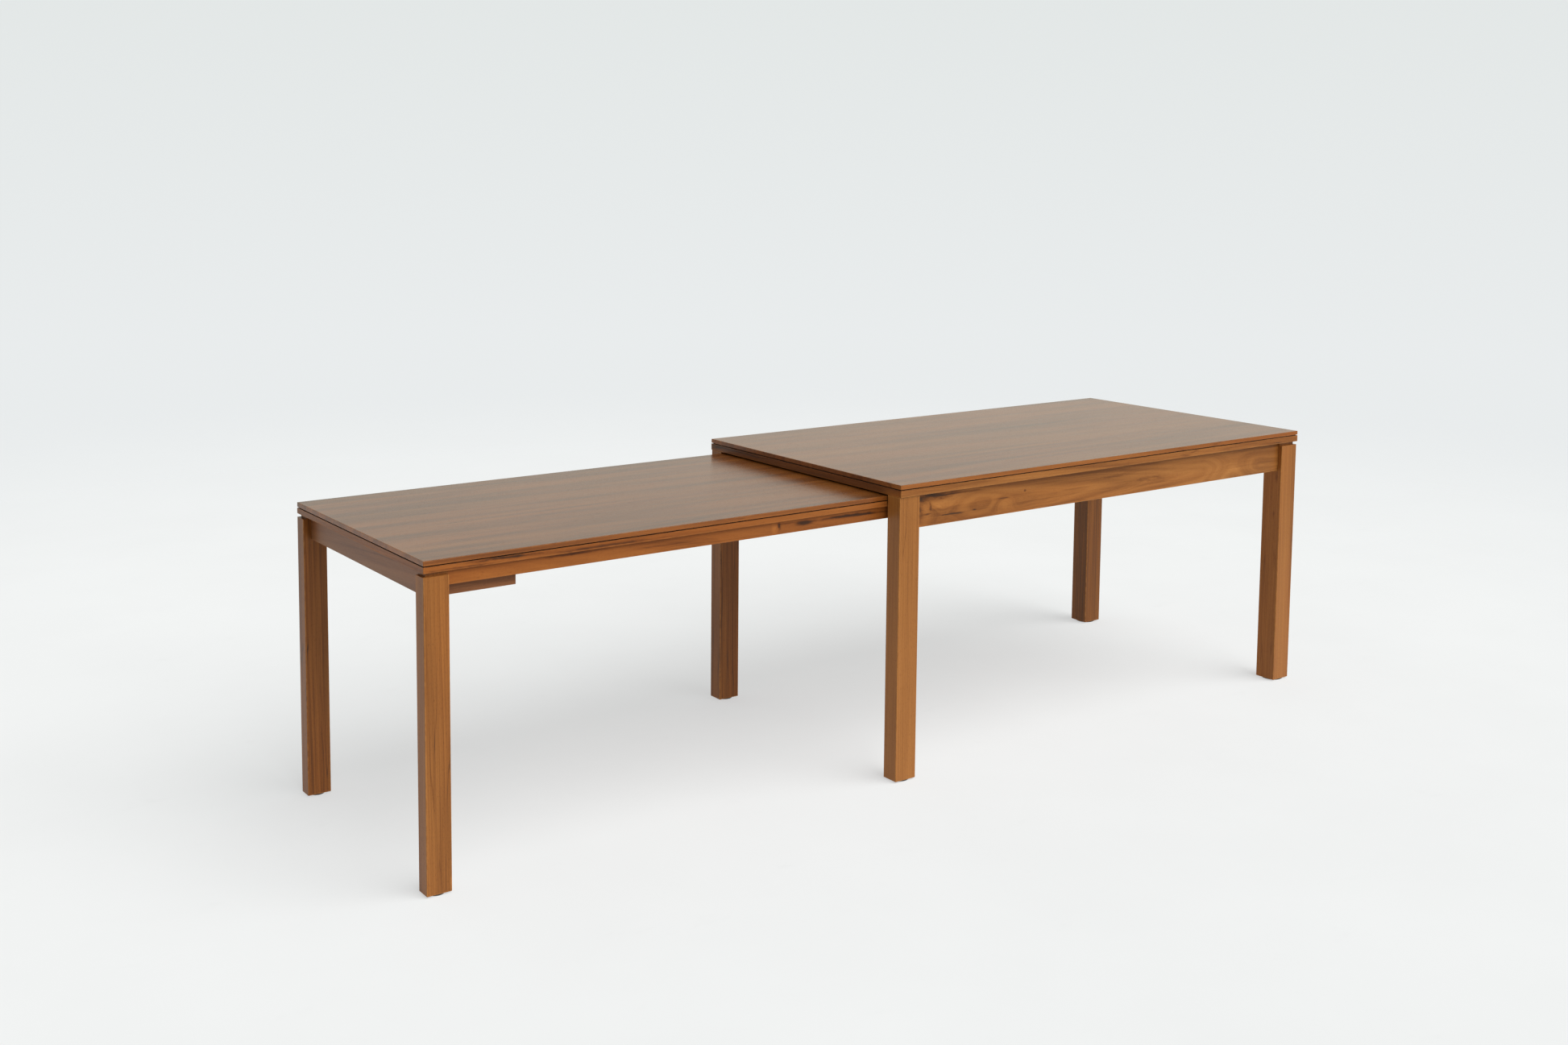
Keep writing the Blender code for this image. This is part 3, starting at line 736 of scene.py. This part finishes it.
# ---------------------------------------------------------------------------------- felt glides
@dataclass
class FeltGlides:
    """The round felt pads under the legs, grown from points by one node tree."""

    felt: FeltFinish
    sides: int = 64
    rings: int = 8
    rim: float = 0.0009             # how much the top and bottom edges draw in
    fibres: float = 260000.0        # fibres per square metre of side wall
    fibre_length: float = 0.0011
    fibre_radius: float = 0.00006
    fibre_lean: tuple[float, float, float] = (1.1, 1.1, 3.1)     # most turn on each axis, in radians
    seed: int = 7

    def build(self, material: bpy.types.Material) -> bpy.types.NodeTree:
        """Build the tree: a pad with a drawn-in rim and fibres, scaled onto each point.

        Args:
            material: The felt.

        Returns:
            The tree.
        """
        tree = bpy.data.node_groups.new("felt_glide", "GeometryNodeTree")
        face = tree.interface
        face.new_socket(name="Geometry", in_out="INPUT", socket_type="NodeSocketGeometry")
        for name in ("Radius", "Thickness", "Rim", "Fibre density", "Fibre length", "Fibre radius"):
            face.new_socket(name=name, in_out="INPUT", socket_type="NodeSocketFloat")
        face.new_socket(name="Geometry", in_out="OUTPUT", socket_type="NodeSocketGeometry")
        new, link = tree.nodes.new, tree.links.new
        given = new("NodeGroupInput").outputs
        result = new("NodeGroupOutput").inputs["Geometry"]

        def node(kind: str, **inputs: object) -> bpy.types.Node:
            """Add a node and set or link its named inputs."""
            made = new(kind)
            for key, value in inputs.items():
                target = made.inputs[key.replace("_", " ")]
                if isinstance(value, bpy.types.NodeSocket):
                    link(value, target)
                else:
                    target.default_value = value
            return made

        def reckon(operation: str, *values: object) -> Socket:
            """Add a Math node."""
            made = new("ShaderNodeMath")
            made.operation = operation
            for target, value in zip(made.inputs, values):
                if isinstance(value, bpy.types.NodeSocket):
                    link(value, target)
                else:
                    target.default_value = value
            return made.outputs[0]

        pad = node("GeometryNodeMeshCylinder", Vertices=self.sides, Side_Segments=self.rings,
                   Fill_Segments=3, Radius=given["Radius"], Depth=given["Thickness"])
        pad.fill_type = "TRIANGLE_FAN"
        place = new("ShaderNodeSeparateXYZ")
        link(new("GeometryNodeInputPosition").outputs[0], place.inputs[0])
        level = reckon("DIVIDE", reckon("ABSOLUTE", place.outputs["Z"]),
                       reckon("MULTIPLY", given["Thickness"], 0.5))
        shrink = reckon("SUBTRACT", 1.0, reckon(
            "DIVIDE", reckon("MULTIPLY", given["Rim"], reckon("POWER", level, 3.0)), given["Radius"]))
        drawn = new("ShaderNodeCombineXYZ")
        link(reckon("MULTIPLY", place.outputs["X"], shrink), drawn.inputs["X"])
        link(reckon("MULTIPLY", place.outputs["Y"], shrink), drawn.inputs["Y"])
        link(place.outputs["Z"], drawn.inputs["Z"])
        shaped = node("GeometryNodeSetPosition", Geometry=pad.outputs["Mesh"], Position=drawn.outputs[0])

        scattered = node("GeometryNodeDistributePointsOnFaces", Mesh=shaped.outputs[0],
                         Selection=pad.outputs["Side"], Density=given["Fibre density"], Seed=self.seed)
        strand = node("GeometryNodeMeshCone", Vertices=4, Side_Segments=1, Fill_Segments=1,
                      Radius_Top=0.0, Radius_Bottom=given["Fibre radius"], Depth=given["Fibre length"])
        lean = new("FunctionNodeRandomValue")
        lean.data_type = "FLOAT_VECTOR"
        lean.inputs[0].default_value = tuple(-turn for turn in self.fibre_lean)
        lean.inputs[1].default_value = self.fibre_lean
        lean.inputs["Seed"].default_value = self.seed
        turned = new("FunctionNodeRotateRotation")
        turned.rotation_space = "LOCAL"
        link(scattered.outputs["Rotation"], turned.inputs[0])
        link(lean.outputs[0], turned.inputs[1])
        fibres = node("GeometryNodeInstanceOnPoints", Points=scattered.outputs["Points"],
                      Instance=strand.outputs["Mesh"], Rotation=turned.outputs[0])
        both = new("GeometryNodeJoinGeometry")
        link(fibres.outputs[0], both.inputs[0])
        link(shaped.outputs[0], both.inputs[0])
        copies = node("GeometryNodeInstanceOnPoints", Points=given["Geometry"], Instance=both.outputs[0])
        real = node("GeometryNodeRealizeInstances", Geometry=copies.outputs[0])
        smooth = node("GeometryNodeSetShadeSmooth", Geometry=real.outputs[0], Shade_Smooth=False)
        finished = node("GeometryNodeSetMaterial", Geometry=smooth.outputs[0], Material=material)
        link(finished.outputs[0], result)
        return tree

    def grow(self, name: str, body: Body, nodes: tuple[str, ...], tree: bpy.types.NodeTree,
             material: bpy.types.Material) -> None:
        """Grow one size of pad at its glides' places, make it a plain mesh and put it on its body.

        Args:
            name: The piece's name.
            body: The body that it rides on.
            nodes: The glides that it stands for, all of one size.
            tree: The pad's node tree.
            material: The felt.
        """
        boxes = [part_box(node) for node in nodes]
        low, high = boxes[0]
        points = bpy.data.meshes.new(f"{name}_points")
        points.from_pydata([(a + b) / 2 for a, b in boxes], [], [])
        seed_object = bpy.data.objects.new(f"{name}_points", points)
        bpy.context.scene.collection.objects.link(seed_object)
        modifier = seed_object.modifiers.new("pads", "NODES")
        modifier.node_group = tree
        sizes = {"Radius": (high.x - low.x) / 2, "Thickness": high.z - low.z, "Rim": self.rim,
                 "Fibre density": self.fibres, "Fibre length": self.fibre_length,
                 "Fibre radius": self.fibre_radius}
        for item in tree.interface.items_tree:
            if item.in_out == "INPUT" and item.name in sizes:
                modifier[item.identifier] = sizes[item.name]
        view = bpy.context.evaluated_depsgraph_get()
        view.update()
        mesh = bpy.data.meshes.new_from_object(seed_object.evaluated_get(view), depsgraph=view)
        bpy.data.objects.remove(seed_object, do_unlink=True)
        if not mesh.materials:
            mesh.materials.append(material)
        self._keep_off_floor(mesh, low.z)
        piece = bpy.data.objects.new(name, mesh)
        bpy.context.scene.collection.objects.link(piece)
        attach(piece, body.value)
        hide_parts(*nodes)
        LOG.info("%s: %d faces", name, len(mesh.polygons))

    @staticmethod
    def _keep_off_floor(mesh: bpy.types.Mesh, floor: float) -> None:
        """Lift any fibre tip that hangs below the floor.

        Args:
            mesh: The pads.
            floor: The floor's height.
        """
        for vertex in mesh.vertices:
            vertex.co.z = max(vertex.co.z, floor)

    def make(self) -> None:
        """Grow the pads of both tables."""
        material = self.felt.material("glide_felt")
        tree = self.build(material)
        self.grow("main_felt_pads_left", Body.MAIN, ("main_glide_left_near", "main_glide_left_far"), tree,
                  material)
        self.grow("main_felt_pads_right", Body.MAIN, ("main_glide_right_near", "main_glide_right_far"), tree,
                  material)
        self.grow("leaf_felt_pads", Body.LEAF, ("leaf_glide_near", "leaf_glide_far"), tree, material)


# ---------------------------------------------------------------------------------- studio
@dataclass(frozen=True)
class Studio:
    """A pale seamless floor under soft light, with a white backdrop beyond the table."""

    floor_radius: float = 7.0
    fade_start: float = 2.2
    floor_color: Color = (0.975, 0.995, 1.01)
    floor_glow: float = 0.53
    floor_albedo: float = 0.315
    backdrop_low: Color = (0.815, 0.840, 0.845)
    backdrop_high: Color = (0.765, 0.798, 0.792)
    far_light: float = 0.86
    near_light: float = 0.16
    top_light: float = 0.30
    backdrop_way: tuple[float, float, float] = (0.50, 0.86, 0.0)
    key_strength: float = 3.5
    key_elevation: float = 50.0     # degrees above the floor
    key_turn: float = 24.0          # degrees from straight in front, towards the closed end
    key_angle: float = 62.0
    key_color: Color = (1.0, 0.985, 0.96)
    world_tint: Color = (0.99, 1.0, 0.89)
    floor_sides: int = 128

    def make(self) -> None:
        """Make the floor, the world and the key light."""
        self._floor()
        self._world()
        light = bpy.data.lights.new("key_light", "SUN")
        light.energy = self.key_strength
        light.angle = math.radians(self.key_angle)
        light.color = self.key_color
        lamp = bpy.data.objects.new("key_light", light)
        elevation, turn = math.radians(self.key_elevation), math.radians(self.key_turn)
        source = Vector((math.sin(turn) * math.cos(elevation), -math.cos(turn) * math.cos(elevation),
                         math.sin(elevation)))
        lamp.rotation_mode = "QUATERNION"
        lamp.rotation_quaternion = source.to_track_quat("Z", "Y")
        bpy.context.scene.collection.objects.link(lamp)

    def _floor(self) -> None:
        """Make the floor disc, which fades out towards its rim."""
        data = bmesh.new()
        bmesh.ops.create_circle(data, cap_ends=True, radius=self.floor_radius, segments=self.floor_sides)
        mesh = bpy.data.meshes.new("studio_floor")
        data.to_mesh(mesh)
        data.free()
        floor = bpy.data.objects.new("studio_floor", mesh)
        bpy.context.scene.collection.objects.link(floor)
        material = bpy.data.materials.new("studio_floor_paint")
        graph = Graph(material)
        mottle = graph.noise(graph.place, (1.3, 1.3, 1.3), 4.0, 0.6)
        scuffs = graph.spread(graph.noise(graph.place, (5.0, 9.0, 5.0), 6.0, 0.7), 0.60, 0.78, 1.0, 0.975)
        tone = graph.math("MULTIPLY", graph.spread(mottle, 0.2, 0.8, 0.985, 1.012), scuffs)
        albedo = graph.vector("SCALE", tuple(self.floor_color))
        scale = albedo.node.inputs["Scale"]
        graph.link(graph.math("MULTIPLY", tone, self.floor_albedo), scale)
        glow = graph.vector("SCALE", tuple(self.floor_color))
        graph.link(tone, glow.node.inputs["Scale"])
        shader = graph.shader
        graph.link(albedo, shader.inputs["Base Color"])
        graph.link(glow, shader.inputs["Emission Color"])
        shader.inputs["Emission Strength"].default_value = self.floor_glow
        shader.inputs["Roughness"].default_value = 0.9
        shader.inputs["Specular IOR Level"].default_value = 0.0
        away = graph.vector("LENGTH", graph.place)
        faded = graph.spread(away, self.fade_start, self.floor_radius * 0.98, 1.0, 0.0)
        from_below = graph.tree.nodes.new("ShaderNodeNewGeometry").outputs["Backfacing"]
        graph.link(graph.math("MULTIPLY", faded, graph.math("SUBTRACT", 1.0, from_below)),
                   shader.inputs["Alpha"])
        mesh.materials.append(material)

    def _world(self) -> None:
        """Make the world: white beyond the table, dim behind the camera and overhead."""
        world = bpy.data.worlds.new("studio_world")
        bpy.context.scene.world = world
        world.use_nodes = True
        tree = world.node_tree
        tree.nodes.clear()

        def node(kind: str, *values: object, **settings: object) -> bpy.types.Node:
            """Add a world node, its settings and its inputs in order."""
            made = tree.nodes.new(kind)
            for key, value in settings.items():
                setattr(made, key, value)
            for target, value in zip(made.inputs, values):
                if isinstance(value, bpy.types.NodeSocket):
                    tree.links.new(value, target)
                elif value is not None:
                    target.default_value = value
            return made

        way = node("ShaderNodeTexCoord").outputs["Generated"]
        height = node("ShaderNodeSeparateXYZ", way).outputs["Z"]
        turned = node("ShaderNodeVectorMath", way, self.backdrop_way, operation="DOT_PRODUCT")
        facing = turned.outputs["Value"]
        side = node("ShaderNodeMapRange", facing, -0.55, 0.45, self.near_light, self.far_light,
                    interpolation_type="SMOOTHSTEP").outputs[0]
        over = node("ShaderNodeMapRange", height, 0.20, 0.85, 0.0, 1.0,
                    interpolation_type="SMOOTHSTEP").outputs[0]
        lit = node("ShaderNodeMix", over, None, side, self.top_light, data_type="FLOAT")
        seen = node("ShaderNodeMapRange", height, -0.10, 0.12, 0.0, 1.0).outputs[0]
        shown = node("ShaderNodeMix", seen, data_type="RGBA")
        shown.inputs[6].default_value = (*self.backdrop_low, 1.0)
        shown.inputs[7].default_value = (*self.backdrop_high, 1.0)
        lighting = node("ShaderNodeBackground", (*self.world_tint, 1.0), lit.outputs[0])
        picture = node("ShaderNodeBackground", shown.outputs[2], 1.0)
        camera_ray = node("ShaderNodeLightPath").outputs["Is Camera Ray"]
        both = node("ShaderNodeMixShader", camera_ray, lighting.outputs[0], picture.outputs[0])
        node("ShaderNodeOutputWorld", both.outputs[0])


@dataclass(frozen=True)
class StandingCamera:
    """A camera at standing height off the leaf's outer corner."""

    place: tuple[float, float, float] = (-2.7168, -3.3697, 1.4920)
    turn: float = 35.117            # degrees from +Y towards +X
    tilt: float = -5.533            # degrees above the horizon
    roll: float = -0.39             # degrees
    lens: float = 38.38
    shift: tuple[float, float] = (0.02986, -0.12695)

    def make(self) -> None:
        """Make the camera and look through it."""
        data = bpy.data.cameras.new("studio_camera")
        data.lens = self.lens
        data.sensor_width = SENSOR_WIDTH
        data.shift_x, data.shift_y = self.shift
        camera = bpy.data.objects.new("studio_camera", data)
        turn, tilt = math.radians(self.turn), math.radians(self.tilt)
        ahead = Vector((math.sin(turn) * math.cos(tilt), math.cos(turn) * math.cos(tilt), math.sin(tilt)))
        camera.location = self.place
        camera.rotation_mode = "QUATERNION"
        rolled = Quaternion(ahead, math.radians(self.roll))
        camera.rotation_quaternion = rolled @ ahead.to_track_quat("-Z", "Y")
        bpy.context.scene.collection.objects.link(camera)
        bpy.context.scene.camera = camera


# ---------------------------------------------------------------------------------- the tables
# The tops' upper face is painted darker than their edges as painted shade.
TOP_WALNUT = WoodFinish(WALNUT_RED, line_scale=70.0, line_strength=0.20, ring_strength=0.0,
                        streak_strength=0.34, fibre_strength=0.12, vein_strength=0.20, waviness=0.010,
                        pith=(0.10, 0.16), upper_face_tone_and_painted_shade=(0.57, 0.59, 0.52), roughness=0.22, specular=0.27,
                        relief=0.00003, wear_and_highlight=(0.05, 0.30), stave_width=0.116)
BAND_WALNUT = WoodFinish(WALNUT, line_scale=130.0, waviness=0.004, pith=(0.03, 0.14), taper=0.015,
                         groove_shade_height=GROOVE_HEIGHT)
BAND_RED = WoodFinish(WALNUT_RED, line_scale=130.0, waviness=0.004, pith=(0.03, 0.14), taper=0.015,
                      vein_strength=0.34, groove_shade_height=GROOVE_HEIGHT)
LEG_WALNUT = WoodFinish(WALNUT, line_scale=300.0, line_strength=0.20, streak_strength=0.16,
                        fibre_strength=0.22, waviness=0.003, pith=(0.16, 0.20), taper=0.010)
RAIL_WALNUT = WoodFinish(WALNUT, line_scale=120.0, line_strength=0.24, waviness=0.012, pith=(0.012, 0.060))
RAIL_RED = WoodFinish(WALNUT_RED, line_scale=120.0, line_strength=0.26, waviness=0.008, pith=(0.02, 0.080),
                      vein_strength=0.34)
BRACE_WALNUT = WoodFinish(WALNUT_GREY, line_scale=160.0, waviness=0.006)
INNER_BEECH = WoodFinish(BEECH, line_scale=210.0, line_strength=0.26, streak_strength=0.22, waviness=0.005,
                         vein_strength=0.05, hue_shift=(1.0, 0.96, 0.90), pore_depth=0.3, roughness=0.55)


class MainTable:
    """The fixed table."""

    def rail_marks(self) -> tuple[Mark, ...]:
        """The figure of the near rail, set out from the open leg's inner face."""
        low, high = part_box("main_rail_near")
        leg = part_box("main_leg_left_near")[1].x - (low.x + high.x) / 2
        face = (low.y - high.y) / 2

        def mark(along: float, up: float, length: float, height: float, **look: float) -> Mark:
            """A mark on the rail's outer face."""
            return Mark(at=(leg + along, up, face), reach=(length, height, RAIL_MARK_DEPTH), **look)

        return (
            mark(0.080, 0.000, 0.090, 0.040, swirl=0.016, figure=1.3, ragged=0.15),
            mark(0.050, 0.031, 0.100, 0.018, tone=-0.62, ragged=0.28),
            mark(0.006, 0.010, 0.026, 0.036, tone=-0.50, ragged=0.28),
            mark(0.036, -0.012, 0.026, 0.004, tone=-0.50, ragged=0.40),
            mark(0.045, 0.006, 0.006, 0.020, tone=-0.40, ragged=0.40),
            mark(0.160, 0.030, 0.110, 0.0040, tone=-0.50, ragged=0.30),
            mark(0.120, -0.020, 0.064, 0.0034, tone=-0.60, ragged=0.40),
            mark(0.190, -0.018, 0.010, 0.004, tone=-0.40, ragged=0.35),
            mark(0.068, 0.006, 0.022, 0.012, tone=0.20, ragged=0.30),
            mark(0.290, -0.014, 0.040, 0.020, swirl=0.009, figure=0.9, ragged=0.20),
            mark(0.285, 0.000, 0.034, 0.0034, tone=-0.44, ragged=0.40),
            mark(0.362, 0.011, 0.007, 0.005, tone=-0.46, swirl=0.003, ragged=0.30),
            mark(0.550, -0.004, 0.120, 0.0035, tone=-0.22, ragged=0.40),
            mark(0.700, 0.014, 0.085, 0.007, tone=-0.24, ragged=0.40),
            mark(0.820, -0.006, 0.100, 0.009, tone=-0.28, ragged=0.40),
            mark(1.060, 0.000, 0.300, 0.070, tone=0.20, ragged=0.10),
            mark(1.165, -0.020, 0.085, 0.045, swirl=0.022, figure=1.1, ragged=0.15),
            mark(1.160, 0.000, 0.060, 0.0035, tone=0.18, ragged=0.40),
            mark(1.190, -0.016, 0.060, 0.0035, tone=0.18, ragged=0.40),
        )

    def leg_marks(self) -> tuple[Mark, ...]:
        """A few small flecks near the top of the closed end's near leg."""
        low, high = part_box("main_leg_right_near")
        face, top = (low.x - high.x) / 2, (high.z - low.z) / 2
        return (Mark(at=(top - 0.10, face, -0.015), reach=(0.030, 0.02, 0.006), tone=-0.30, ragged=0.4),
                Mark(at=(top - 0.21, face, -0.010), reach=(0.020, 0.02, 0.005), tone=-0.26, ragged=0.4),
                Mark(at=(top - 0.34, face, -0.018), reach=(0.040, 0.02, 0.005), tone=-0.20, ragged=0.4))

    def dress(self) -> None:
        """Dress the top, the legs and the rails."""
        # Painted shading in the tones: bands darker on the sides that get less light; the left band also
        # darker and redder on BAND_RED as painted shade.
        BandedTop("main", TOP_WALNUT, BAND_WALNUT, INNER_BEECH, seed=1,
                  band_tones_and_painted_shading={"near": -0.06, "left": -0.24, "right": -0.16, "far": -0.12},
                  band_woods_with_painted_shade={"left": BAND_RED}, board_tone_and_painted_shading=-0.03).dress()
        # The far legs are painted darker as painted shade under the tops.
        Legs(LEG_WALNUT, 11, {"main_leg_left_near": 0.02, "main_leg_left_far": -0.25,
                              "main_leg_right_near": -0.06, "main_leg_right_far": -0.34},
             marks={"main_leg_right_near": self.leg_marks()}).dress()
        Rails(RAIL_WALNUT, 21, {"main_rail_near": Grain.ALONG_X_UPRIGHT,
                                "main_rail_far": Grain.ALONG_X_UPRIGHT, "main_rail_end": Grain.ALONG_Y},
              marks={"main_rail_near": self.rail_marks()}, tones_and_painted_shading={"main_rail_near": -0.02}).dress()


class LeafTable:
    """The sliding table."""

    def rail_marks(self) -> tuple[Mark, ...]:
        """The figure of the near rail, set out from the main table's open leg."""
        low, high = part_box("leaf_rail_near")
        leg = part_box("main_leg_left_near")[0].x - (low.x + high.x) / 2
        face = (low.y - high.y) / 2

        def mark(before: float, up: float, length: float, height: float, **look: float) -> Mark:
            """A mark on the rail's outer face."""
            return Mark(at=(leg - before, up, face), reach=(length, height, RAIL_MARK_DEPTH), **look)

        return (
            mark(0.240, 0.004, 0.040, 0.0100, tone=-0.85, ragged=0.18),
            mark(0.120, 0.005, 0.130, 0.0060, tone=-0.85, ragged=0.25),
            mark(0.050, 0.002, 0.080, 0.0045, tone=-0.60, ragged=0.30),
            mark(0.290, 0.008, 0.060, 0.0028, tone=-0.36, ragged=0.30),
            mark(0.328, 0.000, 0.012, 0.024, tone=0.42, ragged=0.16),
            mark(0.314, 0.004, 0.008, 0.014, tone=-0.60, ragged=0.24),
            mark(0.850, 0.011, 0.120, 0.0060, tone=-0.74, ragged=0.22),
            mark(0.640, 0.000, 0.120, 0.0030, tone=-0.24, ragged=0.35),
        )

    def leg_marks(self) -> tuple[Mark, ...]:
        """A scuff at the foot of the near leg."""
        low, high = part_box("leaf_leg_near")
        foot = (low.z - high.z) / 2
        return (Mark(at=(foot + 0.018, (high.x - low.x) / 2, (low.y - high.y) / 2),
                     reach=(0.022, 0.005, 0.006), tone=0.55, ragged=0.30),)

    def band_marks(self) -> tuple[Mark, ...]:
        """Dark streaks at the outer end of the near band."""
        low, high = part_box("leaf_band_near")
        end, face = (low.x - high.x) / 2, (low.y - high.y) / 2
        return (Mark(at=(end + 0.17, 0.003, face), reach=(0.12, 0.0060, 0.04), tone=-0.62, ragged=0.35),
                Mark(at=(end + 0.10, -0.005, face), reach=(0.11, 0.0045, 0.04), tone=-0.56, ragged=0.35),
                Mark(at=(end + 0.42, -0.003, face), reach=(0.18, 0.0045, 0.04), tone=-0.40, ragged=0.35))

    def dress(self) -> None:
        """Dress the top, the legs, the rails and the braces."""
        # Painted shading in the tones: the board and the left band are set darker.
        BandedTop("leaf", TOP_WALNUT, BAND_RED, INNER_BEECH, seed=31, band_tones_and_painted_shading={"left": -0.10},
                  band_marks={"near": self.band_marks()}, board_tone_and_painted_shading=-0.12).dress()
        # The legs are painted darker, the far one most, as painted shade under the top.
        Legs(LEG_WALNUT, 41, {"leaf_leg_near": -0.14, "leaf_leg_far": -0.26},
             marks={"leaf_leg_near": self.leg_marks()}).dress()
        Rails(RAIL_RED, 45, {"leaf_rail_near": Grain.ALONG_X_UPRIGHT, "leaf_rail_far": Grain.ALONG_X_UPRIGHT},
              marks={"leaf_rail_near": self.rail_marks()}).dress()
        # The end rail is set lighter as painted light.
        Rails(BRACE_WALNUT, 51, {"leaf_rail_end": Grain.ALONG_Y, "leaf_brace_near": Grain.ALONG_X_UPRIGHT,
                                 "leaf_brace_far": Grain.ALONG_X_UPRIGHT},
              tones_and_painted_shading={"leaf_rail_end": 0.10}).dress()
        dress_wood("leaf_rail_inner", INNER_BEECH, Grain.ALONG_Y, 55)


def main() -> None:
    """Build the looks of the table and the studio."""
    logging.basicConfig(level=logging.INFO, format="%(name)s %(message)s")
    bpy.context.scene.view_settings.view_transform = "Standard"
    StandingCamera().make()
    Studio().make()
    MainTable().dress()
    LeafTable().dress()
    felt = FeltFinish()
    SlideHardware(INNER_BEECH, MouldedFinish((0.74, 0.72, 0.66), (0.60, 0.57, 0.50), 0.36),
                  MouldedFinish((0.022, 0.021, 0.020), (0.06, 0.056, 0.052), 0.62, 2200.0), felt,
                  PlatedFinish()).dress()
    FeltGlides(felt).make()


if __name__ == "__main__":
    main()
